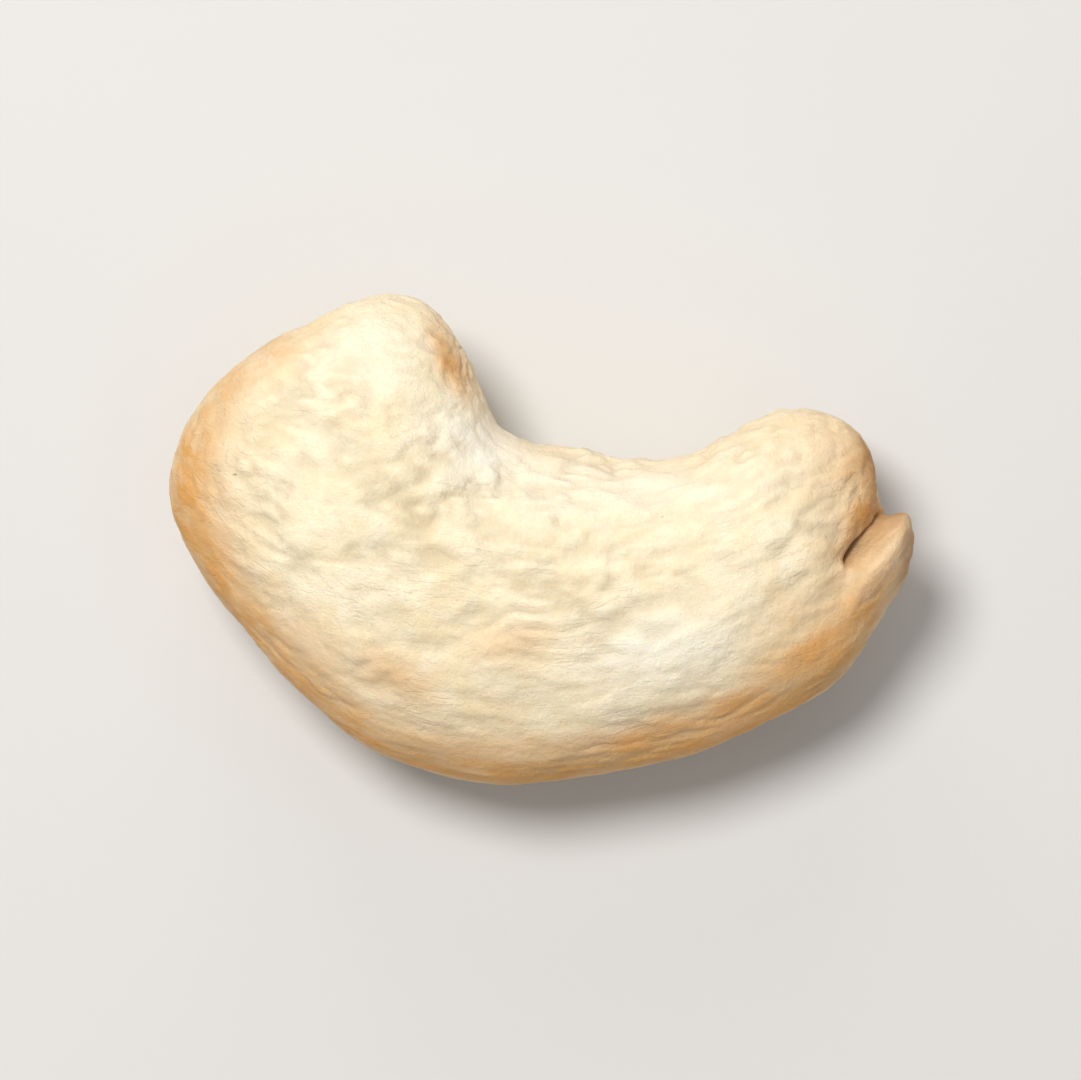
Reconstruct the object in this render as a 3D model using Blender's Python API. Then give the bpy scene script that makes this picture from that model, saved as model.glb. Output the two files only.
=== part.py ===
"""A whole raw cashew kernel lying on its flat side, modelled as one solid.

The body is a surface of two parameters. One runs along the crescent, from the broad left end to the
right end, and the other goes round the oval sections, each of which reaches from the hollow side of the
outline to its outer side. The seam of the two halves, the split end with its lip, the wrinkles of the
hollow side and the low bumps are then pressed into that surface along its normals. The lowest strip is
cut flat, and the kernel rests on it.

The hollow side of the crescent faces +Y, and its blunt ends lie towards -X and +X.
Lengths are in millimetres up to the last step, which makes the mesh in metres.
"""

import bpy
import numpy as np

MILLIMETRE = 0.001

# Seven stations from the left end to the right end, each with the two points of the outline that its
# section joins. The end stations lie where the outline would go if the blunt ends weren't rounded.
HOLLOW_SIDE = np.array(
    [[-4.4, 10.5], [-2.3, 6.2], [-1.2, 3.9], [1.2, 3.3], [4.4, 3.1], [7.6, 4.65], [11.4, 5.68]]
)
OUTER_SIDE = np.array(
    [[-14.5, 2.9], [-11.2, -1.9], [-6.9, -6.5], [-0.5, -8.4], [5.4, -7.1], [9.6, -5.3], [11.85, -3.7]]
)

# At each station: how far the top and the underside stand from the seam, and how much the seam has risen
RISE = np.array([4.2, 4.65, 4.95, 4.9, 4.5, 3.9, 3.4])
DROP = np.array([4.2, 4.45, 4.4, 4.35, 4.35, 4.1, 3.4])
SEAM_LIFT = np.array([0.95, 0.4, 0.05, 0.0, 0.15, 0.5, 0.9])
FLAT_CUT = 0.15  # depth of the strip cut off the underside
SEAM_HEIGHT = 4.35 - FLAT_CUT

# Blunt ends: the share of the length that each one rounds off, and how square it is from above and
# from the side
LEFT_END, RIGHT_END = 0.24, 0.19
END_SQUARENESS, END_ROUNDNESS = 2.9, 2.2

SECTION_SQUARENESS = 2.15
EGG = 0.06  # the section is thicker on the hollow side by this share

# Seam: a shallow valley with a narrow line in it. On the hollow side the valley is deeper, and wrinkles
# cross it
VALLEY_DEPTH, VALLEY_HALF = 0.12, 1.2
LINE_DEPTH, LINE_HALF = 0.15, 0.24
HOLLOW_VALLEY = 0.34
WRINKLE_HEIGHT, WRINKLE_PITCH, WRINKLE_HALF = 0.08, 1.3, 2.6

# Split end: a lip stands out over the rim from a notch in the outline downwards. Seen from above, its
# inner edge is an arc about LIP_CENTRE that goes on as a straight line along LIP_HEADING. The edge is
# rounded and steep at the notch, and gentle where the lip runs out and below the seam
LIP_CENTRE, LIP_RADIUS = np.array([13.87, -2.45]), 4.06
LIP_HEADING = np.radians(262.0)
LIP_REACH, LIP_FULL_TO, LIP_RUN_OUT = 1.05, -1.8, 4.2
LIP_EDGE_STEEP, LIP_EDGE_GENTLE, LIP_EDGE_BELOW = 1.5, 2.5, 3.0
LIP_GENTLE_FROM, LIP_GENTLE_OVER = -1.6, 2.6
LIP_UNDER, LIP_UNDER_FADE = 4.0, 2.5  # how far below the seam the lip ends, and how softly

# A crease follows the lip's edge above the seam
CREASE_DEPTH, CREASE_HALF = 0.5, 0.22
CREASE_FULL_TO, CREASE_RUN_OUT = -1.3, 1.0
CREASE_ABOVE_SEAM, CREASE_FADE = 0.2, 0.8

# Low bumps and dents of a dried kernel: their height, then two sets of waves in radians a millimetre
# along X, Y and Z
BUMP_HEIGHT = 0.08
BROAD_WAVES = [(0.62, 0.35, 0.0, 0.4), (0.0, 0.5, -0.45, 1.0)]
CLOSE_WAVES = [(1.15, -0.6, 0.3, 0.0), (0.0, 0.8, 0.7, 0.6)]
SMOOTH_BELOW = 2.0  # the bumps fade out from this height down to the flat strip

ROWS, COLUMNS = 76, 64
COLUMN_CROWDING = 0.27  # draws the columns towards the two rims, where the seam runs


def spline(values, along):
    """A natural cubic spline through the values at the stations, read at the places in along."""
    stations = station_places()
    count = len(stations)
    gap = np.diff(stations)
    slope = np.diff(values) / gap
    matrix, right = np.eye(count), np.zeros(count)
    for k in range(1, count - 1):
        matrix[k, k - 1 : k + 2] = gap[k - 1], 2 * (gap[k - 1] + gap[k]), gap[k]
        right[k] = 6 * (slope[k] - slope[k - 1])
    bend = np.linalg.solve(matrix, right)
    k = np.clip(np.searchsorted(stations, along) - 1, 0, count - 2)
    step = along - stations[k]
    start = slope[k] - gap[k] * (2 * bend[k] + bend[k + 1]) / 6
    cubic = (bend[k + 1] - bend[k]) / (6 * gap[k])
    return values[k] + step * (start + step * (bend[k] / 2 + step * cubic))


def station_places():
    """The stations' places as shares of the length, by the chords between the middles of their sections."""
    middle = (HOLLOW_SIDE + OUTER_SIDE) / 2
    chords = np.hypot(*np.diff(middle, axis=0).T)
    return np.concatenate([[0], np.cumsum(chords)]) / chords.sum()


def ease(value):
    """Goes smoothly from 0 to 1 while value does."""
    value = np.clip(value, 0.0, 1.0)
    return value * value * (3 - 2 * value)


def hill(value):
    """1 at 0, and down to nothing well past 1 on either side."""
    return np.exp(-value * value)


def end_rounding(along, power):
    """0 at the two tips and 1 between the blunt ends, each of which is a quarter of a superellipse."""
    left = np.clip(1 - along / LEFT_END, 0, 1)
    right = np.clip(1 - (1 - along) / RIGHT_END, 0, 1)
    return ((1 - left**power) * (1 - right**power)) ** (1 / power)


def section_in_plan(along):
    """The middle of each section seen from above, and the step from there to its outer end."""
    hollow = np.stack([spline(HOLLOW_SIDE[:, k], along) for k in (0, 1)], axis=-1)
    outer = np.stack([spline(OUTER_SIDE[:, k], along) for k in (0, 1)], axis=-1)
    reach = (outer - hollow) / 2 * end_rounding(along, END_SQUARENESS)[..., None]
    return (hollow + outer) / 2, reach


def even_rows(count):
    """Places along the length that lie evenly spaced on the outer side, round both blunt ends."""
    dense = (1 - np.cos(np.linspace(0, np.pi, 4001))) / 2
    middle, reach = section_in_plan(dense)
    walked = np.concatenate([[0], np.cumsum(np.hypot(*np.diff(middle + reach, axis=0).T))])
    return np.interp((np.arange(count) + 0.5) / count * walked[-1], walked, dense)


def body_surface(along, turn):
    """The smooth body: along runs from end to end, and turn goes round from the outer side over the top."""
    middle, reach = section_in_plan(along)
    side = end_rounding(along, END_ROUNDNESS)
    across, up = np.cos(turn), np.sin(turn)
    power = SECTION_SQUARENESS
    oval = (np.abs(across) ** power + np.abs(up) ** power) ** (1 / power)
    across, up = across / oval, up / oval
    height = side * np.where(up > 0, spline(RISE, along), spline(DROP, along)) * up * (1 - EGG * across)
    plan = middle + reach * across[..., None]
    return np.concatenate([plan, (seam_height(along) + height)[..., None]], axis=-1)


def seam_height(along):
    """How high the seam lies above the surface that the kernel rests on."""
    return SEAM_HEIGHT + spline(SEAM_LIFT, along)


def surface_normals(points):
    """Unit normals of a grid of points that is closed round its second direction."""
    down = np.gradient(points, axis=0)
    around = np.roll(points, -1, axis=1) - np.roll(points, 1, axis=1)
    normal = np.cross(down, around)
    return normal / np.linalg.norm(normal, axis=-1, keepdims=True)


def seam_relief(points, along, turn):
    """The seam's valley and line, and the wrinkles across it on the hollow side."""
    x, y, z = np.moveaxis(points, -1, 0)
    over_seam = z - seam_height(along)
    hollow = ease(-1.4 * np.cos(turn))
    valley = VALLEY_DEPTH + HOLLOW_VALLEY * hollow
    groove = valley * hill(over_seam / VALLEY_HALF) + LINE_DEPTH * hill(over_seam / LINE_HALF)

    run = 2 * np.pi * (x + 0.35 * y) / WRINKLE_PITCH
    wrinkles = np.sin(run + 1.1 * np.sin(0.9 * x) + 0.5 * over_seam) * hill(over_seam / WRINKLE_HALF)
    return WRINKLE_HEIGHT * wrinkles * hollow * end_rounding(along, 2) ** 4 - groove


def split_end_relief(points, along):
    """The lip over the rim of the right end, and the crease along its inner edge."""
    x, y, z = np.moveaxis(points, -1, 0)
    over_seam = z - seam_height(along)
    above = ease(0.5 + over_seam / 1.6)
    ahead = np.array([np.cos(LIP_HEADING), np.sin(LIP_HEADING)])
    down = (x - LIP_CENTRE[0]) * ahead[0] + (y - LIP_CENTRE[1]) * ahead[1]
    aside = (y - LIP_CENTRE[1]) * ahead[0] - (x - LIP_CENTRE[0]) * ahead[1]
    inside = LIP_RADIUS - np.hypot(aside, np.minimum(down, 0))

    gentle = ease((down - LIP_GENTLE_FROM) / LIP_GENTLE_OVER)
    edge = LIP_EDGE_STEEP + (LIP_EDGE_GENTLE - LIP_EDGE_STEEP) * gentle
    edge = LIP_EDGE_BELOW + (edge - LIP_EDGE_BELOW) * above
    step = np.clip(inside / edge, 0, 1)
    steep = np.sqrt(step * (2 - step))
    lip = steep + (ease(step) - steep) * np.maximum(gentle, 1 - above)
    lip = lip * (1 - ease((down - LIP_FULL_TO) / LIP_RUN_OUT))
    lip = lip * ease((over_seam + LIP_UNDER) / LIP_UNDER_FADE)

    crease = hill(inside / CREASE_HALF) * (1 - ease((down - CREASE_FULL_TO) / CREASE_RUN_OUT))
    crease = crease * ease((over_seam - CREASE_ABOVE_SEAM) / CREASE_FADE)
    return LIP_REACH * lip - CREASE_DEPTH * crease


def bump_relief(points):
    """Two sets of crossing waves, smoothed away towards the flat strip."""
    x, y, z = np.moveaxis(points, -1, 0)
    total = 0.0
    for height, waves in ((1.0, BROAD_WAVES), (0.6, CLOSE_WAVES)):
        product = height
        for across_x, across_y, across_z, shift in waves:
            product = product * np.sin(across_x * x + across_y * y + across_z * z + shift)
        total = total + product
    return BUMP_HEIGHT * total * ease(z / SMOOTH_BELOW)


def kernel_points():
    """The finished grid of points, row by row from the left end to the right one, and the two tips."""
    share = np.arange(COLUMNS) / COLUMNS * 2 * np.pi
    around = share - COLUMN_CROWDING * np.sin(2 * share)
    along, turn = np.meshgrid(even_rows(ROWS), around, indexing="ij")
    points = body_surface(along, turn)
    relief = seam_relief(points, along, turn) + split_end_relief(points, along) + bump_relief(points)
    points = points + surface_normals(points) * relief[..., None]
    points[..., 2] = np.maximum(points[..., 2], 0.0)
    return points, [points[0].mean(axis=0), points[-1].mean(axis=0)]


def grid_faces():
    """Two triangles for each cell of the grid, and a fan of them round each tip."""
    row, column = np.meshgrid(np.arange(ROWS - 1), np.arange(COLUMNS), indexing="ij")
    a, b = row * COLUMNS + column, row * COLUMNS + (column + 1) % COLUMNS
    c, d = a + COLUMNS, b + COLUMNS
    ring = np.arange(COLUMNS)
    after = (ring + 1) % COLUMNS
    last = (ROWS - 1) * COLUMNS
    left_tip, right_tip = np.full(COLUMNS, ROWS * COLUMNS), np.full(COLUMNS, ROWS * COLUMNS + 1)
    sets = [(a, c, d), (a, d, b), (left_tip, ring, after), (right_tip, last + after, last + ring)]
    return np.concatenate([np.stack(corners, -1).reshape(-1, 3) for corners in sets])


def kernel_mesh():
    """One closed mesh in metres, centred over the middle of its outline and standing on z = 0."""
    points, tips = kernel_points()
    corners = np.concatenate([points.reshape(-1, 3), tips])
    corners[:, :2] -= (corners[:, :2].min(axis=0) + corners[:, :2].max(axis=0)) / 2
    mesh = bpy.data.meshes.new("cashew_kernel")
    mesh.from_pydata((corners * MILLIMETRE).tolist(), [], grid_faces().tolist())
    mesh.update()
    mesh.shade_smooth()
    return mesh


def kernel_material():
    """Raw, peeled and dried kernel: pale cream and slightly waxy."""
    material = bpy.data.materials.new("cashew_cream")
    material.use_nodes = True
    shader = material.node_tree.nodes["Principled BSDF"]
    shader.inputs["Base Color"].default_value = (0.84, 0.68, 0.43, 1.0)
    shader.inputs["Roughness"].default_value = 0.48
    shader.inputs["Metallic"].default_value = 0.0
    return material


for old in list(bpy.data.objects):
    bpy.data.objects.remove(old)

kernel = bpy.data.objects.new("cashew_kernel", kernel_mesh())
kernel.data.materials.append(kernel_material())
bpy.context.collection.objects.link(kernel)
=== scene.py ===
from math import radians

import bpy
import numpy as np
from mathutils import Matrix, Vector


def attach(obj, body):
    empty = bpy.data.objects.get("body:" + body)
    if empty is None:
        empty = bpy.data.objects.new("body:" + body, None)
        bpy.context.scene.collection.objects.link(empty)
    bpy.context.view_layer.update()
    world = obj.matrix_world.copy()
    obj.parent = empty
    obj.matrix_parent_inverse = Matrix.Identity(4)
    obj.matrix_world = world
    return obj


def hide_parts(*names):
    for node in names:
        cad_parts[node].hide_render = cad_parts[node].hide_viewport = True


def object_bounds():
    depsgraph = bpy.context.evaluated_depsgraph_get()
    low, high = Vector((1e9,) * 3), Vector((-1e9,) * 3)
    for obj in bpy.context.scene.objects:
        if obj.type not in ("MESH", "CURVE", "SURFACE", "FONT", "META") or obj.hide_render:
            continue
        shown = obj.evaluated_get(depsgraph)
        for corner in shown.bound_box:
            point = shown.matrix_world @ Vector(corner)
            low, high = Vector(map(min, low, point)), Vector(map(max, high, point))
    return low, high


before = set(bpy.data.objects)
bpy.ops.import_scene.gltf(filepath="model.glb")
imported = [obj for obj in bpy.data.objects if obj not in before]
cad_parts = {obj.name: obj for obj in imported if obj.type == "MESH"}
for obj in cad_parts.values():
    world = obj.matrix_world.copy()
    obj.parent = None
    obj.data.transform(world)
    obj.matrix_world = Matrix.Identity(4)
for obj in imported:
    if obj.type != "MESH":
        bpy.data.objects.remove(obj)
cadLow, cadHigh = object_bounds()
print("frame loaded:", ", ".join(sorted(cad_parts)))

# One raw cashew kernel on a pale table, seen from straight above.
# The kernel's lengths are in millimetres until its mesh is made, the table's and lights' in metres.
millimetre = 0.001


# Smooth steps and noise

def ease(value):
    # 3v^2 - 2v^3 on 0..1, flat outside it
    value = np.clip(value, 0.0, 1.0)
    return value * value * (3 - 2 * value)


def hill(value):
    # exp(-v^2): 1 at nought, almost nothing past 2
    return np.exp(-value * value)


def between(first, second, share):
    # the first value at share 0, the second at share 1, and a straight line between them
    return first + (second - first) * share


cornerFactors = 73856093, 19349663, 83492791, 2654435761    # large odd numbers, for x, y, z and the seed
mixing = ((13, 1274126177), (16, 2246822519))               # bits to shift by, and a large odd number
noiseGain = 1.4                                             # brings the noise to about -1..1


def cornerSlope(ix, iy, iz, seed):
    # a fixed random slope for each whole-number corner: its three numbers and the seed times large odd
    # numbers, with their bits mixed twice, and then ten bits for each axis as a number in -1..1
    byX, byY, byZ, bySeed = cornerFactors
    mixed = (ix * byX) ^ (iy * byY) ^ (iz * byZ) ^ (seed * bySeed)
    for shift, factor in mixing:
        mixed = (mixed ^ (mixed >> shift)) * factor & 0xFFFFFFFF
    return [((mixed >> shift) & 1023) / 511.5 - 1 for shift in (0, 10, 20)]


def shareFrom(value, level, contrast):
    # noise as a share of 0..1: the ease of level + contrast * noise
    return ease(level + contrast * value)


def noise(x, y, z, seed):
    # gradient noise: slopes at the corners of a unit grid, blended by 6t^5 - 15t^4 + 10t^3
    low = [np.floor(v).astype(np.int64) for v in (x, y, z)]
    part = [v - cell for v, cell in zip((x, y, z), low)]
    blend = [t * t * t * (t * (6 * t - 15) + 10) for t in part]
    total = 0.0
    for corner in range(8):
        step = [corner & 1, corner >> 1 & 1, corner >> 2 & 1]
        slope = cornerSlope(*[cell + s for cell, s in zip(low, step)], seed)
        weight = 1.0
        for t, s in zip(blend, step):
            weight = weight * (t if s else 1 - t)
        total = total + weight * sum(g * (t - s) for g, t, s in zip(slope, part, step))
    return noiseGain * total


def layeredNoise(x, y, z, seed, layers):
    # noise plus itself at half the size and half the height, and so on
    total, height = 0.0, 1.0
    for layer in range(layers):
        total = total + height * noise(x * 2**layer, y * 2**layer, z * 2**layer, seed + layer)
        height *= 0.5
    return total


# The kernel: its form

kernel = {
    # the outline's two sides at seven stations from the left end to the right end, seen from above
    "hollowSide": [[-4.4, 10.5], [-2.3, 6.2], [-1.2, 3.9], [1.2, 3.3], [4.4, 3.1], [7.6, 4.65],
                   [11.4, 5.68]],
    "outerSide": [[-14.5, 2.9], [-11.2, -1.9], [-6.9, -6.5], [-0.5, -8.4], [5.4, -7.1], [9.6, -5.3],
                  [11.85, -3.7]],
    "rise": [4.2, 4.65, 4.95, 4.9, 4.5, 3.9, 3.4],    # seam to top
    "drop": [4.2, 4.45, 4.4, 4.35, 4.35, 4.1, 3.4],   # seam to underside
    "seamLift": [0.95, 0.4, 0.05, 0.0, 0.15, 0.5, 0.9],
    "seamHeight": 4.2,
    "leftEnd": 0.24, "rightEnd": 0.19,                # share of the length that each blunt end rounds off
    "endSquareness": 2.9, "endRoundness": 2.2,
    "sectionSquareness": 2.15, "egg": 0.06,
    "rows": 340, "columns": 290, "columnCrowding": 0.18,    # the columns crowd towards the seam
}


def stationPlaces():
    # shares of the length, by the chords between the middles of the sections, and the length itself
    middle = (np.array(kernel["hollowSide"]) + np.array(kernel["outerSide"])) / 2
    chords = np.hypot(*np.diff(middle, axis=0).T)
    return np.concatenate([[0], np.cumsum(chords)]) / chords.sum(), chords.sum()


def through(values, along):
    # natural cubic spline: a cubic between each two stations, with slope and bend the same on both sides
    stations = stationPlaces()[0]
    values = np.asarray(values, float)
    gap = np.diff(stations)
    slope = np.diff(values) / gap
    matrix, right = np.eye(len(stations)), np.zeros(len(stations))
    for k in range(1, len(stations) - 1):
        matrix[k, k - 1:k + 2] = gap[k - 1], 2 * (gap[k - 1] + gap[k]), gap[k]
        right[k] = 6 * (slope[k] - slope[k - 1])
    bend = np.linalg.solve(matrix, right)
    k = np.clip(np.searchsorted(stations, along) - 1, 0, len(stations) - 2)
    step = along - stations[k]
    start = slope[k] - gap[k] * (2 * bend[k] + bend[k + 1]) / 6
    cubic = (bend[k + 1] - bend[k]) / (6 * gap[k])
    return values[k] + step * (start + step * (bend[k] / 2 + step * cubic))


def endRounding(along, power):
    # (1 - l^p)(1 - r^p) to the 1/p, where l and r run from 1 at a tip to 0 where its end begins
    left = np.clip(1 - along / kernel["leftEnd"], 0, 1)
    right = np.clip(1 - (1 - along) / kernel["rightEnd"], 0, 1)
    return ((1 - left**power) * (1 - right**power)) ** (1 / power)


def sectionInPlan(along):
    # halfway between the two sides, and the step from there to the outer side, drawn in at the ends
    hollow, outer = np.array(kernel["hollowSide"]), np.array(kernel["outerSide"])
    hollow = np.stack([through(hollow[:, k], along) for k in (0, 1)], axis=-1)
    outer = np.stack([through(outer[:, k], along) for k in (0, 1)], axis=-1)
    reach = (outer - hollow) / 2 * endRounding(along, kernel["endSquareness"])[..., None]
    return (hollow + outer) / 2, reach


def evenRows(count):
    # places along the length whose points on the outer side are equally far apart, from 6001 samples
    # that crowd at the tips as (1 - cos t) / 2 does
    dense = (1 - np.cos(np.linspace(0, np.pi, 6001))) / 2
    middle, reach = sectionInPlan(dense)
    walked = np.concatenate([[0], np.cumsum(np.hypot(*np.diff(middle + reach, axis=0).T))])
    return np.interp((np.arange(count) + 0.5) / count * walked[-1], walked, dense)


def seamAt(along):
    # the seam's height over the table
    return kernel["seamHeight"] + through(kernel["seamLift"], along)


def bodySurface(along, turn):
    # middle + reach * cos(turn) in plan, seam + rise or drop * sin(turn) in height, both squared a little,
    # and the height a little greater towards the hollow
    middle, reach = sectionInPlan(along)
    across, up = np.cos(turn), np.sin(turn)
    power = kernel["sectionSquareness"]
    oval = (np.abs(across)**power + np.abs(up)**power) ** (1 / power)
    across, up = across / oval, up / oval
    tall = np.where(up > 0, through(kernel["rise"], along), through(kernel["drop"], along))
    height = tall * endRounding(along, kernel["endRoundness"]) * up * (1 - kernel["egg"] * across)
    plan = middle + reach * across[..., None]
    return np.concatenate([plan, (seamAt(along) + height)[..., None]], axis=-1), reach, across


def gridNormals(points):
    # cross product of the steps down the rows and round the columns
    alongRows = np.gradient(points, axis=0)
    roundColumns = np.roll(points, -1, axis=1) - np.roll(points, 1, axis=1)
    normal = np.cross(alongRows, roundColumns)
    return normal / np.linalg.norm(normal, axis=-1, keepdims=True)


print("working out the kernel's form")

evenTurns = np.arange(kernel["columns"]) / kernel["columns"] * 2 * np.pi
around = evenTurns - kernel["columnCrowding"] * np.sin(2 * evenTurns)
along, turn = np.meshgrid(evenRows(kernel["rows"]), around, indexing="ij")
bare, reach, across = bodySurface(along, turn)
normals = gridNormals(bare)
x, y, z = np.moveaxis(bare, -1, 0)

# Bent coordinates: run goes along the crescent, side across it, over up from the seam
run = along * stationPlaces()[1]
side = across * np.linalg.norm(reach, axis=-1)
over = z - seamAt(along)
hollow = ease(-1.4 * np.cos(turn))        # 1 on the hollow's face, 0 on the outer half
notAtTips = endRounding(along, 2) ** 4    # 0 at the two tips, 1 between the ends


def aboveSeam(width):
    # 1 above the seam and 0 below it, with a soft change as wide as this between them
    return ease(0.5 + over / width)


# The kernel: what is pressed into it, in millimetres out along the normals

seeds = {
    "lineWander": 21, "lineUneven": 22, "seamWaves": 23, "lipEdge": 31, "lipStreaks": 32,
    "wrinkleBend": 41, "wrinkles": 42, "fineWrinkles": 43, "wrinkleBreaks": 44, "wrinklePatches": 45,
    "folds": 51, "foldBend": 52, "foldsUneven": 53, "crinkle": 61, "dents": 71, "pits": 8,
}

seam = {
    "valleyDepth": 0.12, "hollowValley": 0.34, "valleyHalf": 1.2,
    "lineDepth": 0.15, "lineHalf": 0.11, "lineWander": 0.13, "wanderSize": 2.2,
    "lineLevel": 0.5, "lineContrast": 1.1, "lineStrength": (0.1, 1.2), "lineUnevenSize": 2.3,
    "waveHeight": 0.05, "wavePitch": 1.3, "waveHalf": 2.6,
    "waveLean": 0.35, "waveTilt": 0.5, "swayDepth": 1.1, "swaySpeed": 0.9,
    "waveLevel": 0.75, "waveContrast": 0.8, "waveUnevenSize": 2.2,
}


def seamRelief():
    # a valley and a line, both hills of the height over the seam, the line's place and strength by noise,
    # and in the hollow waves across them: the sine of x with a lean, a sway and a tilt, uneven by noise
    size = seam["wanderSize"]
    wander = seam["lineWander"] * noise(run / size, side / size, 0 * run, seeds["lineWander"])
    line = hill((over - wander) / seam["lineHalf"])
    size = seam["lineUnevenSize"]
    uneven = noise(run / size, side / size, 0 * run, seeds["lineUneven"])
    line = np.clip(seam["lineLevel"] + seam["lineContrast"] * uneven, *seam["lineStrength"]) * line
    groove = (seam["valleyDepth"] + seam["hollowValley"] * hollow) * hill(over / seam["valleyHalf"])

    phase = 2 * np.pi * (x + seam["waveLean"] * y) / seam["wavePitch"]
    sway = seam["swayDepth"] * np.sin(seam["swaySpeed"] * x)
    waves = np.sin(phase + sway + seam["waveTilt"] * over)
    size = seam["waveUnevenSize"]
    uneven = noise(run / size, side / size, over / size, seeds["seamWaves"])
    waves = waves * (seam["waveLevel"] + seam["waveContrast"] * uneven)
    waves = seam["waveHeight"] * waves * hollow * hill(over / seam["waveHalf"]) * notAtTips
    return waves - groove - seam["lineDepth"] * line, line


# The lip over the rim of the split end. Seen from above its inner edge is two straight lines that pass
# through these points at these headings, with the corner between them rounded. Where a pair has no note,
# it is a place or a direction, or the value by the lip's tip and the value further down the lip
splitEnd = {
    "lowerPoint": (9.91, -1.94), "lowerHeading": 262.0,
    "upperPoint": (10.65, -0.19), "upperHeading": 46.0, "cornerSharpness": 4.0,
    "edgeWander": 0.07, "wanderSize": 0.9, "seamBlend": 1.6,
    "lipReach": 1.05, "fullTo": -2.3, "runOut": 4.3,
    "edgeSteep": 1.5, "edgeGentle": 2.5, "edgeBelow": 3.0, "gentleFrom": -1.6, "gentleOver": 2.6,
    "under": 4.0, "underFade": 2.5,
    "creaseDepth": (0.3, 0.62), "creaseHalf": (0.09, 0.17), "creaseTo": -1.45, "creaseRunOut": 0.6,
    "aboveSeam": 0.2, "creaseFade": 0.8, "widerFrom": -2.5, "widerOver": 0.8,
    "rollDepth": 0.2, "rollHalf": (0.75, 0.15),                  # on the body's side, on the lip's side
    # slit, brown and tan set colours by the crease: painted shade in the crease, and brown beside it and
    # tan on the lip's outer half that are partly painted shade
    "slitPlace": -0.04, "slitHalf": (0.05, 0.13), "slitTone": (0.3, 1.0),
    "brownTone": 0.75, "brownHalf": (0.75, 0.06),                # on the body's side, on the lip's side
    "tanTone": (0.5, 1.0), "tanFrom": 0.7, "tanOver": 0.5,       # on the inner half, on the outer half
    "streakDepth": 0.08, "streakSize": (0.15, 1.5, 2.0),         # across the lip, along it and upwards
    "ridgeHeight": 0.55, "ridgeHalf": (0.2, 1.0),                # on the inner side, on the outer side
    "ridgePlace": (0.2, 0.42), "ridgeFrom": -3.2, "ridgeOver": 1.8,
    "ridgeTo": -1.2, "ridgeRunOut": 2.4,
    "tipSlide": 0.45, "tipAlong": (0.6, 0.8), "tipFrom": -1.4, "tipOver": 1.3,
    "streakStart": 0.15, "ridgeStart": 0.12, "tanStart": 0.1, "slideStart": 0.2,
}


def splitEndPlace():
    # how far a point lies down the lip and how far inside its inner edge, both seen from above. Inside
    # both lines is minus the log of the sum of exp(-distance) to each, which rounds their corner, and
    # noise lets the edge wander
    lower, upper = radians(splitEnd["lowerHeading"]), radians(splitEnd["upperHeading"])
    fromX, fromY = x - splitEnd["lowerPoint"][0], y - splitEnd["lowerPoint"][1]
    down = fromX * np.cos(lower) + fromY * np.sin(lower)
    aside = fromY * np.cos(lower) - fromX * np.sin(lower)
    fromX, fromY = x - splitEnd["upperPoint"][0], y - splitEnd["upperPoint"][1]
    below = fromX * np.sin(upper) - fromY * np.cos(upper)
    sharp = splitEnd["cornerSharpness"]
    inside = -np.logaddexp(-sharp * aside, -sharp * below) / sharp
    size = splitEnd["wanderSize"]
    wander = splitEnd["edgeWander"] * noise(down / size, over / size, 0 * over, seeds["lipEdge"])
    return down, inside + wander


def lipStep():
    # a step up from the inner edge, which is a quarter circle by the lip's tip and an S further down and
    # below the seam, and how much of the lip is left at each place along it
    gentle = ease((down - splitEnd["gentleFrom"]) / splitEnd["gentleOver"])
    wide = between(splitEnd["edgeSteep"], splitEnd["edgeGentle"], gentle)
    wide = between(splitEnd["edgeBelow"], wide, onTop)
    step = np.clip(inside / wide, 0, 1)
    steep = np.sqrt(step * (2 - step))
    lip = between(steep, ease(step), np.maximum(gentle, 1 - onTop))
    running = 1 - ease((down - splitEnd["fullTo"]) / splitEnd["runOut"])
    return lip * running * ease((over + splitEnd["under"]) / splitEnd["underFade"]), running


def lipRelief():
    # the step, less a narrow hill of depth along its edge (the crease) and a wide one on the body's side
    # (the roll), plus fine lines down the lip: noise that changes fast across it and slowly along it
    crease = parted * hill(inside / between(*splitEnd["creaseHalf"], wider))
    roll = parted * hill(inside / np.where(inside < 0, *splitEnd["rollHalf"]))
    size = splitEnd["streakSize"]
    streaks = noise(fan / size[0], down / size[1], over / size[2], seeds["lipStreaks"])
    streaks = streaks * onTop * lip * ease(inside / splitEnd["streakStart"])
    depth = splitEnd["lipReach"] * lip - between(*splitEnd["creaseDepth"], wider) * crease
    return depth - splitEnd["rollDepth"] * roll + splitEnd["streakDepth"] * streaks


def lipLift():
    # how far up the lip rises, a hill of the distance from its crest, and how far its tip slides along
    crest = between(*splitEnd["ridgePlace"], ease((down - splitEnd["ridgeFrom"]) / splitEnd["ridgeOver"]))
    ridge = hill((inside - crest) / np.where(inside < crest, *splitEnd["ridgeHalf"]))
    ridge = ridge * onTop * ease(inside / splitEnd["ridgeStart"])
    ridge = ridge * (1 - ease((down - splitEnd["ridgeTo"]) / splitEnd["ridgeRunOut"]))
    slide = splitEnd["tipSlide"] * ease((splitEnd["tipFrom"] - down) / splitEnd["tipOver"])
    return splitEnd["ridgeHeight"] * ridge, slide * ease(inside / splitEnd["slideStart"]) * onTop


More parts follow.
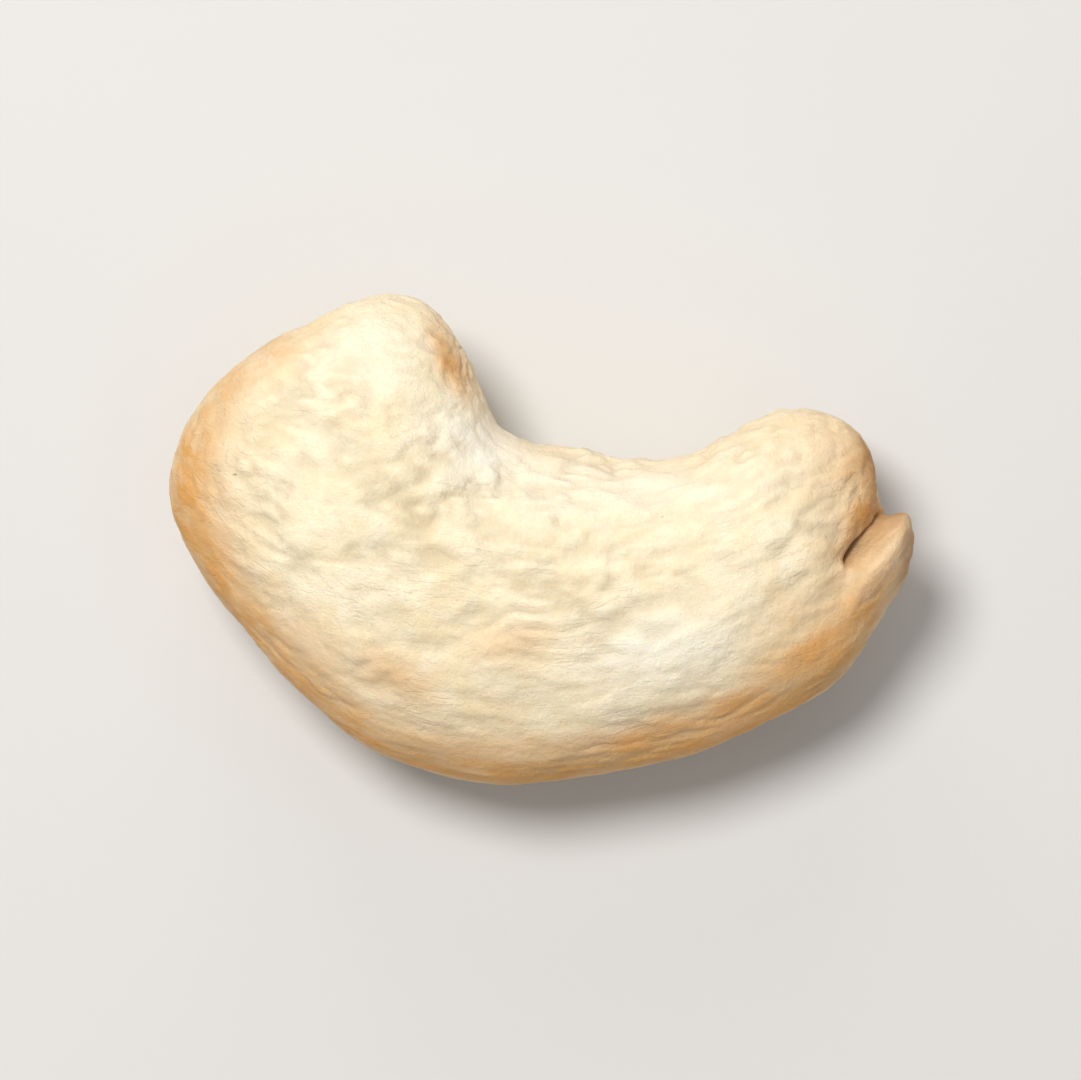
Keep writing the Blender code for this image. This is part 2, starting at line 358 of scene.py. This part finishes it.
def lipTones():
    # how dark the crease is, which is painted shade beyond the shadow its depth casts; how brown the body
    # beside it, partly its own colour and partly painted shade where it rounds into the crease; and how tan
    # the lip, most on its outer half, partly painted shade where it turns from the light
    slit = hill((inside - splitEnd["slitPlace"]) / between(*splitEnd["slitHalf"], wider))
    slit = parted * slit * between(*splitEnd["slitTone"], wider)
    brown = splitEnd["brownTone"] * parted * hill(inside / np.where(inside < 0, *splitEnd["brownHalf"]))
    outerHalf = ease((inside - splitEnd["tanFrom"]) / splitEnd["tanOver"])
    tan = running**3 * onTop * ease(inside / splitEnd["tanStart"])
    return slit, brown, tan * between(*splitEnd["tanTone"], outerHalf)


down, inside = splitEndPlace()
onTop = aboveSeam(splitEnd["seamBlend"])
lip, running = lipStep()
parted = 1 - ease((down - splitEnd["creaseTo"]) / splitEnd["creaseRunOut"])
parted = parted * ease((over - splitEnd["aboveSeam"]) / splitEnd["creaseFade"])
wider = ease((down - splitEnd["widerFrom"]) / splitEnd["widerOver"])
fan = np.sqrt(np.maximum(inside, 0))    # even steps over the lip, whose inner part is drawn out most


skin = {
    "bumpHeight": 0.08, "closeShare": 0.6, "smoothBelow": 2.0,
    # sines that are multiplied: radians per millimetre along x, y and z, and where they start
    "broadWaves": [(0.62, 0.35, 0.0, 0.4), (0.0, 0.5, -0.45, 1.0)],
    "closeWaves": [(1.15, -0.6, 0.3, 0.0), (0.0, 0.8, 0.7, 0.6)],
    "dentHeight": 0.05, "dentSize": 2.6,
    "crinkleHeight": 0.014, "crinkleLong": 0.9, "crinkleApart": 0.55,
    "bowCentre": (-0.5, 20.0),                         # the wrinkles run round it
    "wrinkleDepth": 0.245, "wrinkleLong": 1.35, "wrinkleApart": 0.5, "wrinkleHalf": 0.32,
    "wrinkleCentre": (0.3, 1.8), "wrinkleSpread": (11.0, 5.0),
    "calmPlaces": [(-1.9, 3.9, 1.9, 0.7), (5.6, -2.3, 2.3, 0.6)],    # x, y, half width, share smoothed
    "fineDepth": 0.055, "fineLong": 0.9, "fineApart": 0.33, "fineHalf": 0.32,
    "bendSize": 2.1, "bendAlong": 0.4, "bendAcross": 0.6, "fineBendAcross": 0.8,
    "breakSize": (1.3, 0.8), "patchSize": (4.0, 3.0),                # along the bow, across it
    "breakShare": (0.6, 1.4), "patchShare": (0.7, 0.9),              # the noise's level and contrast
    "leastBroad": 0.4, "leastFine": (0.3, 0.4),                      # between the patches, off the faces
    "bySeam": 0.5, "facesFrom": 1.0, "facesOver": 2.5, "everywhere": 0.42, "moreInOval": 0.6,
    "belowSeam": 0.65, "belowOver": 1.5,
    "foldDepth": 0.03, "foldPitch": 0.8, "foldHalf": 0.24, "foldReach": 2.0, "foldSize": 2.4,
    "foldBendSize": 2.0, "foldBend": 0.5, "foldTall": 1.6, "foldShare": (0.6, 1.1),
    "pits": 7, "pitDepth": 0.06, "pitHalf": (0.06, 0.11), "pitFreeRows": 20,
    "flatTo": 0.1, "flatFade": 1.2,                    # the strip it rests on stays smooth
}

# Bowed coordinates for the wrinkles, which run round a point well above the hollow in the picture
fromBow = x - skin["bowCentre"][0], skin["bowCentre"][1] - y
bowed = np.arctan2(*fromBow) * skin["bowCentre"][1]
outward = np.hypot(*fromBow)


def bumpRelief():
    # products of sines over space, with the low part of the underside left smooth
    total = 0.0
    for height, waves in ((1.0, skin["broadWaves"]), (skin["closeShare"], skin["closeWaves"])):
        product = height
        for alongX, alongY, alongZ, shift in waves:
            product = product * np.sin(alongX * x + alongY * y + alongZ * z + shift)
        total = total + product
    return skin["bumpHeight"] * total * ease(z / skin["smoothBelow"])


def wrinkleStrength():
    # half by the seam and full on the faces, most in an oval round the faces' middle, less at the calm
    # places, and never under a fixed share below the seam
    faces = between(skin["bySeam"], 1.0, ease((np.abs(over) - skin["facesFrom"]) / skin["facesOver"]))
    (centreX, centreY), (halfX, halfY) = skin["wrinkleCentre"], skin["wrinkleSpread"]
    oval = hill(np.hypot((x - centreX) / halfX, (y - centreY) / halfY))
    strength = faces * (skin["everywhere"] + skin["moreInOval"] * oval)
    for calmX, calmY, half, smoothed in skin["calmPlaces"]:
        strength = strength * (1 - smoothed * hill(np.hypot(x - calmX, y - calmY) / half))
    return np.maximum(strength, skin["belowSeam"] * ease(-over / skin["belowOver"]))


def wrinkleRelief():
    # valleys where noise drawn out along the bow passes nought, once broad and once fine. Slower noise
    # bends and breaks them
    size = skin["bendSize"]
    bend = noise(bowed / size, outward / size, z / size, seeds["wrinkleBend"])
    broad = noise(bowed / skin["wrinkleLong"] + skin["bendAlong"] * bend,
                  outward / skin["wrinkleApart"] + skin["bendAcross"] * bend,
                  z / skin["wrinkleApart"], seeds["wrinkles"])
    fine = noise(bowed / skin["fineLong"] + skin["bendAlong"] * bend,
                 outward / skin["fineApart"] + skin["fineBendAcross"] * bend,
                 z / skin["fineApart"], seeds["fineWrinkles"])
    lengthwise, crosswise = skin["breakSize"]
    broken = noise(bowed / lengthwise, outward / crosswise, z / crosswise, seeds["wrinkleBreaks"])
    broken = shareFrom(broken, *skin["breakShare"])
    lengthwise, crosswise = skin["patchSize"]
    patchy = noise(bowed / lengthwise, outward / crosswise, z / crosswise, seeds["wrinklePatches"])
    patchy = shareFrom(patchy, *skin["patchShare"])
    strength = wrinkleStrength()
    broad = hill(broad / skin["wrinkleHalf"]) * broken * between(skin["leastBroad"], 1, patchy) * strength
    leastPatchy, leastStrong = skin["leastFine"]
    fine = hill(fine / skin["fineHalf"]) * between(leastPatchy, 1, patchy)
    return broad, fine * between(leastStrong, 1, strength)


def foldRelief():
    # narrow folds across the seam on the hollow side: valleys where noise that changes fast along the
    # kernel and slowly upwards passes nought
    size = skin["foldBendSize"]
    bend = skin["foldBend"] * noise(run / size, over / size, 0 * run, seeds["foldBend"])
    size = skin["foldSize"]
    fold = noise(run / skin["foldPitch"] + bend, side / size, over / size, seeds["folds"])
    uneven = noise(run / size, side / size, over / skin["foldTall"], seeds["foldsUneven"])
    uneven = shareFrom(uneven, *skin["foldShare"])
    return hill(fold / skin["foldHalf"]) * uneven * hollow * hill(over / skin["foldReach"]) * notAtTips


def pitRelief():
    # small round hills of depth at random places, each exp(-distance^2 / half width^2)
    draw = np.random.default_rng(seeds["pits"])
    free = skin["pitFreeRows"]
    total = np.zeros(bare.shape[:2])
    for _ in range(skin["pits"]):
        centre = bare[draw.integers(free, kernel["rows"] - free), draw.integers(0, kernel["columns"])]
        half = draw.uniform(*skin["pitHalf"])
        distance = np.linalg.norm(bare - centre, axis=-1)
        total = np.maximum(total, draw.uniform(0.5, 1.0) * hill(distance / half))
    return total


seamDepth, seamLine = seamRelief()
lipDepth = lipRelief()
ridgeLift, tipSlide = lipLift()
slit, brownAndShadeBesideSlit, lipTanAndShade = lipTones()
wrinkles, fineWrinkles = wrinkleRelief()
folds = foldRelief()
pits = pitRelief()
# Fine crinkles and broad dents are layered noise in the bent coordinates
crinkle = layeredNoise(run / skin["crinkleLong"], side / skin["crinkleApart"], over / skin["crinkleApart"],
                       seeds["crinkle"], 3)
dents = layeredNoise(run / skin["dentSize"], side / skin["dentSize"], over / skin["dentSize"],
                     seeds["dents"], 2)
aboveTable = ease((z - skin["flatTo"]) / skin["flatFade"])

depth = seamDepth + lipDepth + bumpRelief()
depth = depth + aboveTable * (skin["dentHeight"] * dents + skin["crinkleHeight"] * crinkle
                              - skin["wrinkleDepth"] * wrinkles - skin["fineDepth"] * fineWrinkles
                              - skin["foldDepth"] * folds - skin["pitDepth"] * pits)
points = bare + normals * depth[..., None]
points[..., 2] += ridgeLift
points[..., :2] += tipSlide[..., None] * splitEnd["tipAlong"]
points[..., 2] = np.maximum(points[..., 2], 0.0)    # flat where it rests
tips = np.stack([points[0].mean(axis=0), points[-1].mean(axis=0)])


# The kernel: its mesh

def closedGrid(name, points, tips, low, high):
    # quads between the rows, a fan of triangles round each tip, all stretched to fill the box low..high
    rows, columns = points.shape[:2]
    corners = np.concatenate([points.reshape(-1, 3), tips])
    lowest, highest = corners.min(axis=0), corners.max(axis=0)
    corners = np.array(low) + (corners - lowest) / (highest - lowest) * (np.array(high) - np.array(low))

    row, column = np.meshgrid(np.arange(rows - 1), np.arange(columns), indexing="ij")
    a, b = row * columns + column, row * columns + (column + 1) % columns
    quads = np.stack([a, a + columns, b + columns, b], -1).reshape(-1, 4)
    ring = np.arange(columns)
    after, last = (ring + 1) % columns, (rows - 1) * columns
    firstTip, lastTip = np.full(columns, rows * columns), np.full(columns, rows * columns + 1)
    fans = np.concatenate([np.stack([firstTip, ring, after], -1),
                           np.stack([lastTip, last + after, last + ring], -1)])

    mesh = bpy.data.meshes.new(name)
    mesh.vertices.add(len(corners))
    mesh.vertices.foreach_set("co", corners.astype(np.float32).ravel())
    mesh.loops.add(quads.size + fans.size)
    mesh.loops.foreach_set("vertex_index", np.concatenate([quads.ravel(), fans.ravel()]).astype(np.int32))
    mesh.polygons.add(len(quads) + len(fans))
    starts = np.concatenate([np.arange(len(quads)) * 4, quads.size + np.arange(len(fans)) * 3])
    mesh.polygons.foreach_set("loop_start", starts.astype(np.int32))
    mesh.update(calc_edges=True)
    mesh.validate()
    mesh.shade_smooth()
    piece = bpy.data.objects.new(name, mesh)
    bpy.context.scene.collection.objects.link(piece)
    return piece


def keepOnSurface(piece, name, grid):
    # a number for each point of the grid, with each tip taking the mean of the ring next to it
    values = np.concatenate([grid.ravel(), [grid[0].mean(), grid[-1].mean()]])
    piece.data.attributes.new(name, "FLOAT", "POINT").data.foreach_set("value", values.astype(np.float32))


def keepFlow(piece, name, grid):
    # three numbers for each point of the grid, for patterns that follow a form
    values = np.concatenate([grid.reshape(-1, 3), [grid[0].mean(axis=0), grid[-1].mean(axis=0)]])
    store = piece.data.attributes.new(name, "FLOAT_VECTOR", "POINT")
    store.data.foreach_set("vector", values.astype(np.float32).ravel())


# The kernel: where its colours lie

tints = {
    # soft patches: x, y, half length, half width in plan, lean in degrees, strength
    # toasted patches: partly the kernel's own toasted tan and partly painted shade at the lower and right
    # edges
    "toastAndShadePatches": [
        (-11.0, -0.4, 0.6, 1.0, 10, 0.7), (-9.7, -2.7, 0.5, 1.0, 25, 0.45), (-3.15, 5.9, 0.4, 1.3, 26, 1.2),
        (-0.9, -3.5, 1.5, 0.8, 0, 0.45), (-1.7, -5.5, 1.4, 0.6, 0, 0.2), (8.7, -3.9, 1.5, 0.7, 35, 1.0),
        (9.6, 2.6, 1.2, 1.6, 0, 0.3), (-7.2, -5.1, 1.6, 0.6, -45, 0.4), (4.0, -6.5, 3.0, 0.6, 10, 1.2),
        (7.9, -2.5, 0.9, 1.1, 0, 0.35), (6.3, -5.6, 1.6, 0.5, 20, 0.9), (11.0, 2.5, 0.6, 1.7, 8, 1.2),
        (-5.0, -4.5, 1.6, 0.9, -35, 0.6), (9.5, 0.5, 0.8, 0.7, 0, 0.2), (-7.3, -3.5, 1.6, 0.9, -45, 0.35),
        (-1.2, -7.0, 2.3, 0.8, 0, 0.3), (7.6, -4.0, 1.5, 0.7, 35, 0.35), (10.4, 2.5, 0.7, 1.6, 8, 0.55),
    ],
    # pale patches: partly the kernel's paler zones and partly painted light, which brightens places by the
    # hollow, above the crease and on the lip that lie in shade
    "paleAndLitPatches": [
        (3.7, -3.6, 2.3, 1.1, 12, 1.0), (-2.0, 3.2, 1.8, 1.3, -35, 1.2), (-5.8, 6.3, 1.5, 1.2, 30, 0.5),
        (2.2, 1.9, 3.6, 1.1, 0, 0.8), (6.6, 2.0, 1.6, 1.0, 20, 0.3), (10.0, -1.2, 0.25, 0.3, 0, 1.0),
        (10.65, -1.75, 0.4, 1.1, -35, 0.9), (9.4, 0.6, 0.7, 0.6, 0, 0.4),
    ],
    # brown patches: partly the kernel's own brown and partly painted shadow at the right end and the lip's
    # tip
    "brownAndShadePatches": [
        (10.95, 2.65, 0.62, 1.7, 8, 1.1), (11.75, 0.85, 0.6, 0.5, 50, 1.25),
        (-3.1, 6.0, 0.3, 0.9, 26, 0.55), (12.15, -0.6, 0.42, 1.4, -8, 1.15),
        (9.4, -4.6, 1.0, 0.35, 40, 0.35), (11.2, 0.45, 0.8, 0.25, 48, 1.0),
        (11.5, -0.15, 0.8, 0.45, 48, 0.22),
    ],
    "patchSeamBlend": 2.0,
    # the rim band is partly the kernel's tan edge and partly painted shade and warm reflected light
    "rimHalf": 1.9, "rimFade": 2.2, "rimBelow": 0.55, "rimSeamBlend": 1.5,
    "rimLessInHollow": 0.75, "rimLessOnLip": 0.7,
    "rimFarFrom": 1.0, "rimFarOver": 5.0, "rimLessFar": 0.4,    # far is towards +Y
    "fainterInHollow": 0.4, "foldShadeTone": 0.5,
}


def patchField(patches):
    # the patches on the upper half: exp(-distance^2) with the distance measured in half axes
    total = np.zeros(x.shape)
    for patchX, patchY, halfLong, halfWide, lean, strength in patches:
        cosine, sine = np.cos(radians(lean)), np.sin(radians(lean))
        fromX, fromY = points[..., 0] - patchX, points[..., 1] - patchY
        lengthwise, crosswise = fromX * cosine + fromY * sine, fromY * cosine - fromX * sine
        oval = hill(np.hypot(lengthwise / halfLong, crosswise / halfWide))
        total = np.maximum(total, strength * oval * aboveSeam(tints["patchSeamBlend"]))
    return total


def rimTanAndShadeField():
    # a band round the seam, partly the kernel's tan edge and partly painted shade and warm reflected light
    # where the form turns from the light: 1 - ease of the height past its half width, weaker below the
    # seam, in the hollow and on the lip, and far along +Y narrower, by a power up to 2, and weaker too
    far = ease((y - tints["rimFarFrom"]) / tints["rimFarOver"])
    band = (1 - ease((np.abs(over) - tints["rimHalf"]) / tints["rimFade"])) ** (1 + far)
    band = band * between(tints["rimBelow"], 1.0, ease(over / tints["rimSeamBlend"]))
    band = band * (1 - tints["rimLessInHollow"] * hollow) * (1 - tints["rimLessFar"] * far)
    return band * (1 - tints["rimLessOnLip"] * lipDepth.clip(0, 1))


kernelPiece = closedGrid("cashew_body", points, tips, cadLow, cadHigh)
keepFlow(kernelPiece, "flow", np.stack([bowed, outward, z], axis=-1))
keepFlow(kernelPiece, "lipFlow", np.stack([fan, down, over], axis=-1))
# the wrinkle mask paints shade into the wrinkle and fold valleys; fainter lessens it and the seam line in
# the hollow
fainter = 1 - tints["fainterInHollow"] * hollow
keepOnSurface(kernelPiece, "wrinkle", np.maximum(wrinkles * fainter, tints["foldShadeTone"] * folds))
keepOnSurface(kernelPiece, "pit", pits)
keepOnSurface(kernelPiece, "seam", seamLine * fainter)
keepOnSurface(kernelPiece, "slit", slit)
# the browned mask is partly brown colour and partly painted shade, beside the crease and at the right end
keepOnSurface(kernelPiece, "brownedAndShaded", np.maximum(brownAndShadeBesideSlit, patchField(tints["brownAndShadePatches"])))
keepOnSurface(kernelPiece, "toastedAndShaded", patchField(tints["toastAndShadePatches"]))
keepOnSurface(kernelPiece, "paleAndLit", patchField(tints["paleAndLitPatches"]))
keepOnSurface(kernelPiece, "rim", rimTanAndShadeField())
keepOnSurface(kernelPiece, "lip", lipTanAndShade)
print("kernel mesh:", len(kernelPiece.data.polygons), "faces")


# Shader helpers

def place(tree, kind, **settings):
    # a node with its own settings
    node = tree.nodes.new(kind)
    for name, value in settings.items():
        setattr(node, name, value)
    return node


def attribute(tree, name, output="Fac"):
    # numbers kept on the surface
    return place(tree, "ShaderNodeAttribute", attribute_name=name).outputs[output]


def mathNode(tree, operation, first, second=0.0, third=0.0):
    # each input is a number or another node's output
    node = place(tree, "ShaderNodeMath", operation=operation)
    for socket, value in zip(node.inputs, (first, second, third)):
        if isinstance(value, bpy.types.NodeSocket):
            tree.links.new(value, socket)
        else:
            socket.default_value = value
    return node.outputs[0]


def times(tree, first, second):
    return mathNode(tree, "MULTIPLY", first, second)


def ramp(tree, value, low, high, toLow=0.0, toHigh=1.0):
    # a smooth step between two values of the input
    node = place(tree, "ShaderNodeMapRange", interpolation_type="SMOOTHSTEP")
    tree.links.new(value, node.inputs["Value"])
    for name, number in (("From Min", low), ("From Max", high), ("To Min", toLow), ("To Max", toHigh)):
        node.inputs[name].default_value = number
    return node.outputs["Result"]


def blendColour(tree, factor, first, second):
    # the first colour where the factor is 0, the second where it is 1
    node = place(tree, "ShaderNodeMix", data_type="RGBA")
    tree.links.new(factor, node.inputs[0])
    for socket, value in ((node.inputs[6], first), (node.inputs[7], second)):
        if isinstance(value, bpy.types.NodeSocket):
            tree.links.new(value, socket)
        else:
            socket.default_value = (*value, 1.0)
    return node.outputs[2]


def noiseNode(tree, where, scale, detail, roughness, distortion=0.0):
    # noise in 0..1, mostly near 0.5
    node = tree.nodes.new("ShaderNodeTexNoise")
    tree.links.new(where, node.inputs["Vector"])
    for name, number in (("Scale", scale), ("Detail", detail), ("Roughness", roughness),
                         ("Distortion", distortion)):
        node.inputs[name].default_value = number
    return node.outputs["Fac"]


def scaled(tree, where, scales):
    # coordinates times one number for each axis
    mapping = tree.nodes.new("ShaderNodeMapping")
    mapping.inputs["Scale"].default_value = scales
    tree.links.new(where, mapping.inputs["Vector"])
    return mapping.outputs["Vector"]


kernelLook = {
    "cream": (0.87, 0.745, 0.51), "warm": (0.84, 0.67, 0.41), "pale": (0.89, 0.81, 0.62),
    # of the tones below, the toasted tan, rim tan, darkest brown and lip tan are partly painted shade, the
    # valley tone is painted shade, and the brightest pale tone is partly painted light
    "toastAndShade": (0.76, 0.37, 0.10), "rimTanAndShade": (0.69, 0.34, 0.085), "valley": (0.62, 0.50, 0.315),
    "paleAndLit": (0.92, 0.87, 0.74), "crustAndShade": (0.44, 0.22, 0.08), "lipTanAndShade": (0.55, 0.35, 0.18),
    "shade": (0.76, 0.63, 0.41),
    "speck": (0.30, 0.17, 0.08), "seamBrown": (0.36, 0.20, 0.085), "creaseShade": (0.20, 0.125, 0.055),
    # noise scale, detail and roughness, where it starts and is full, strength, tone
    "mottling": [(0.22, 3.0, 0.55, 0.38, 0.68, 0.6, "warm"), (0.7, 4.0, 0.6, 0.36, 0.66, 0.7, "pale"),
                 (3.0, 4.0, 0.65, 0.4, 0.72, 0.45, "shade")],
    # the pale layer is partly painted light; the rim, lip, toasted and browned layers are partly painted
    # shade
    # attribute, tone, strength, from the lowest layer up
    "layers": [("paleAndLit", "paleAndLit", 0.8), ("rim", "rimTanAndShade", 1.0), ("lip", "lipTanAndShade", 0.8),
               ("toastedAndShaded", "toastAndShade", 0.85), ("brownedAndShaded", "crustAndShade", 0.8)],
    # the wrinkle, hairline and slit strengths set painted shade; the seam and pit strengths set the
    # kernel's own marks
    "wrinkleShadeTone": 0.92, "hairlineShadeTone": 0.1, "seamTone": 0.5, "slitTone": 0.72, "pitTone": 0.75,
    # how fast each drawn-out noise changes along the kernel or across the lip, and the two other ways
    "hairlineStretch": (0.6, 2.2, 2.2), "raggedStretch": (0.5, 1.1, 1.1), "streakStretch": (13.0, 0.7, 0.7),
    "hairlineHalf": 0.06,
    "roughness": (0.50, 0.68), "specular": 0.3,
    "grain": [(4.0, 5.0, 0.62, 0.9), (13.0, 2.0, 0.6, 0.3)],    # noise scale, detail, roughness, height
    "hairlineDepth": 0.22, "streakDepth": 0.5, "bumpStrength": 0.75, "bumpHeight": 0.1,
    "subsurface": 0.2, "subsurfaceScale": 1.0, "subsurfaceRadius": (1.0, 0.55, 0.28),
}


def hairlines(tree, where, flow, look):
    # fine lines along the kernel: where drawn-out noise is near its middle value, in some places; they are
    # pressed in as bumps and darkened a little as painted shade
    drawnOut = scaled(tree, flow, look["hairlineStretch"])
    drawnOut = noiseNode(tree, drawnOut, scale=1.0, detail=3.0, roughness=0.55, distortion=0.3)
    away = mathNode(tree, "ABSOLUTE", mathNode(tree, "SUBTRACT", drawnOut, 0.5))
    here = ramp(tree, noiseNode(tree, where, scale=0.35, detail=3.0, roughness=0.6), 0.42, 0.66)
    return times(tree, ramp(tree, away, 0.0, look["hairlineHalf"], toLow=1.0, toHigh=0.0), here)


def lipStreaks(tree, look):
    # light and dark stretches of noise drawn out along the lip
    drawnOut = scaled(tree, attribute(tree, "lipFlow", "Vector"), look["streakStretch"])
    drawnOut = noiseNode(tree, drawnOut, scale=1.0, detail=3.0, roughness=0.6)
    return ramp(tree, drawnOut, 0.36, 0.64, toLow=0.15, toHigh=1.1)


def kernelColour(tree, where, flow, streaks, hairline, look):
    # cream mottled at three sizes, then the layers of colour, some of them partly painted shade or light,
    # then everything that lies deeper: painted shade in the wrinkles, hairlines and crease, and the seam
    # line and pits
    colour = look["cream"]
    for scale, detail, roughness, start, full, strength, tone in look["mottling"]:
        amount = ramp(tree, noiseNode(tree, where, scale, detail, roughness), start, full)
        colour = blendColour(tree, times(tree, amount, strength), colour, look[tone])

    ragged = scaled(tree, flow, look["raggedStretch"])
    ragged = noiseNode(tree, ragged, scale=1.0, detail=5.0, roughness=0.64)
    ragged = ramp(tree, ragged, 0.3, 0.7, toLow=0.65, toHigh=1.15)
    for name, tone, strength in look["layers"]:
        uneven = streaks if name == "lip" else ragged
        amount = times(tree, times(tree, attribute(tree, name), uneven), strength)
        colour = blendColour(tree, amount, colour, look[tone])

    # painted shade: the wrinkle and fold valleys and the hairlines are darkened towards the valley tone
    valley = times(tree, attribute(tree, "wrinkle"), look["wrinkleShadeTone"])
    colour = blendColour(tree, valley, colour, look["valley"])
    colour = blendColour(tree, times(tree, hairline, look["hairlineShadeTone"]), colour, look["valley"])
    onSeam = times(tree, times(tree, attribute(tree, "seam"), ragged), look["seamTone"])
    colour = blendColour(tree, onSeam, colour, look["seamBrown"])
    # painted shade: the crease at the split end is darkened towards a deep brown, beyond the shadow its
    # depth casts
    inSlit = times(tree, attribute(tree, "slit"), look["slitTone"])
    colour = blendColour(tree, inSlit, colour, look["creaseShade"])
    inPit = ramp(tree, attribute(tree, "pit"), 0.3, 0.9, toHigh=look["pitTone"])
    return blendColour(tree, inPit, colour, look["speck"])


def kernelBump(tree, where, streaks, hairline, look):
    # two sizes of grain, less the hairlines and the streaks on the lip
    height = 0.0
    for scale, detail, roughness, tall in look["grain"]:
        grain = noiseNode(tree, where, scale, detail, roughness)
        height = mathNode(tree, "MULTIPLY_ADD", grain, tall, height)
    height = mathNode(tree, "MULTIPLY_ADD", hairline, -look["hairlineDepth"], height)
    onLip = times(tree, attribute(tree, "lip"), streaks)
    height = mathNode(tree, "MULTIPLY_ADD", onLip, -look["streakDepth"], height)
    bump = tree.nodes.new("ShaderNodeBump")
    bump.inputs["Strength"].default_value = look["bumpStrength"]
    bump.inputs["Distance"].default_value = look["bumpHeight"] * millimetre
    tree.links.new(height, bump.inputs["Height"])
    return bump.outputs["Normal"]


def kernelMaterial(look):
    # where is the place on the kernel in millimetres, and flow the same along its bow
    material = bpy.data.materials.new("cashewFlesh")
    material.use_nodes = True
    tree = material.node_tree
    shader = tree.nodes["Principled BSDF"]
    where = scaled(tree, tree.nodes.new("ShaderNodeTexCoord").outputs["Object"], (1 / millimetre,) * 3)
    flow = attribute(tree, "flow", "Vector")
    hairline = hairlines(tree, where, flow, look)
    streaks = lipStreaks(tree, look)

    colour = kernelColour(tree, where, flow, streaks, hairline, look)
    tree.links.new(colour, shader.inputs["Base Color"])
    dull = noiseNode(tree, where, scale=1.8, detail=4.0, roughness=0.6)
    tree.links.new(ramp(tree, dull, 0.3, 0.7, *look["roughness"]), shader.inputs["Roughness"])
    tree.links.new(kernelBump(tree, where, streaks, hairline, look), shader.inputs["Normal"])

    shader.inputs["Specular IOR Level"].default_value = look["specular"]
    shader.inputs["Subsurface Weight"].default_value = look["subsurface"]
    shader.inputs["Subsurface Scale"].default_value = look["subsurfaceScale"] * millimetre
    shader.inputs["Subsurface Radius"].default_value = look["subsurfaceRadius"]
    return material


kernelPiece.data.materials.append(kernelMaterial(kernelLook))
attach(kernelPiece, "root")
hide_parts("cashew_kernel")
print("kernel finished")


# Table, lights and camera

studio = {
    "tableSize": 1.2, "tableDrop": 0.00001, "tableColour": (0.66, 0.64, 0.61), "tableRoughness": 0.75,
    "lens": 200.0, "sensor": 36.0, "nearest": 0.01,
    "frameWidth": 0.0365,      # the picture's width, measured at half the kernel's height
    # name, place, width, power
    "lights": [("keyLight", (-0.075, 0.09, 0.29), 0.10, 0.82),
               ("backLight", (-0.04, 0.30, 0.14), 0.25, 0.2),
               ("fillLight", (0.12, -0.16, 0.30), 0.35, 0.06)],
    "skyColour": (0.97, 0.98, 1.0), "skyStrength": 0.36,
}


def table():
    # a flat square a hair below the kernel
    half, level = studio["tableSize"] / 2, -studio["tableDrop"]
    ring = [(-half, -half, level), (half, -half, level), (half, half, level), (-half, half, level)]
    mesh = bpy.data.meshes.new("table")
    mesh.from_pydata(ring, [], [(0, 1, 2, 3)])
    piece = bpy.data.objects.new("table", mesh)
    bpy.context.scene.collection.objects.link(piece)
    material = bpy.data.materials.new("paleTable")
    material.use_nodes = True
    shader = material.node_tree.nodes["Principled BSDF"]
    shader.inputs["Base Color"].default_value = (*studio["tableColour"], 1.0)
    shader.inputs["Roughness"].default_value = studio["tableRoughness"]
    mesh.materials.append(material)
    return piece


def softLight(name, position, size, power, target):
    # a round area light that faces the target
    light = bpy.data.lights.new(name, "AREA")
    light.shape = "DISK"
    light.size = size
    light.energy = power
    lamp = bpy.data.objects.new(name, light)
    lamp.location = position
    lamp.rotation_euler = (Vector(target) - Vector(position)).to_track_quat("-Z", "Y").to_euler()
    bpy.context.scene.collection.objects.link(lamp)


def sky():
    # an even pale light from all round
    world = bpy.data.worlds.new("studioSky")
    world.use_nodes = True
    background = world.node_tree.nodes["Background"]
    background.inputs["Color"].default_value = (*studio["skyColour"], 1.0)
    background.inputs["Strength"].default_value = studio["skyStrength"]
    bpy.context.scene.world = world


def cameraAbove(centre):
    # straight down with +Y up in the picture, far enough away for the frame's width
    data = bpy.data.cameras.new("camera")
    data.lens = studio["lens"]
    data.clip_start = studio["nearest"]
    data.sensor_width = studio["sensor"]
    camera = bpy.data.objects.new("camera", data)
    distance = studio["frameWidth"] * data.lens / data.sensor_width
    camera.location = (centre[0], centre[1], centre[2] + distance)
    bpy.context.scene.collection.objects.link(camera)
    bpy.context.scene.camera = camera


middle = (np.array(cadLow) + np.array(cadHigh)) / 2
table()
for name, position, size, power in studio["lights"]:
    softLight(name, position, size, power, middle)
sky()
cameraAbove(middle)
bpy.context.scene.view_settings.view_transform = "Standard"
print("table, lights and camera placed")
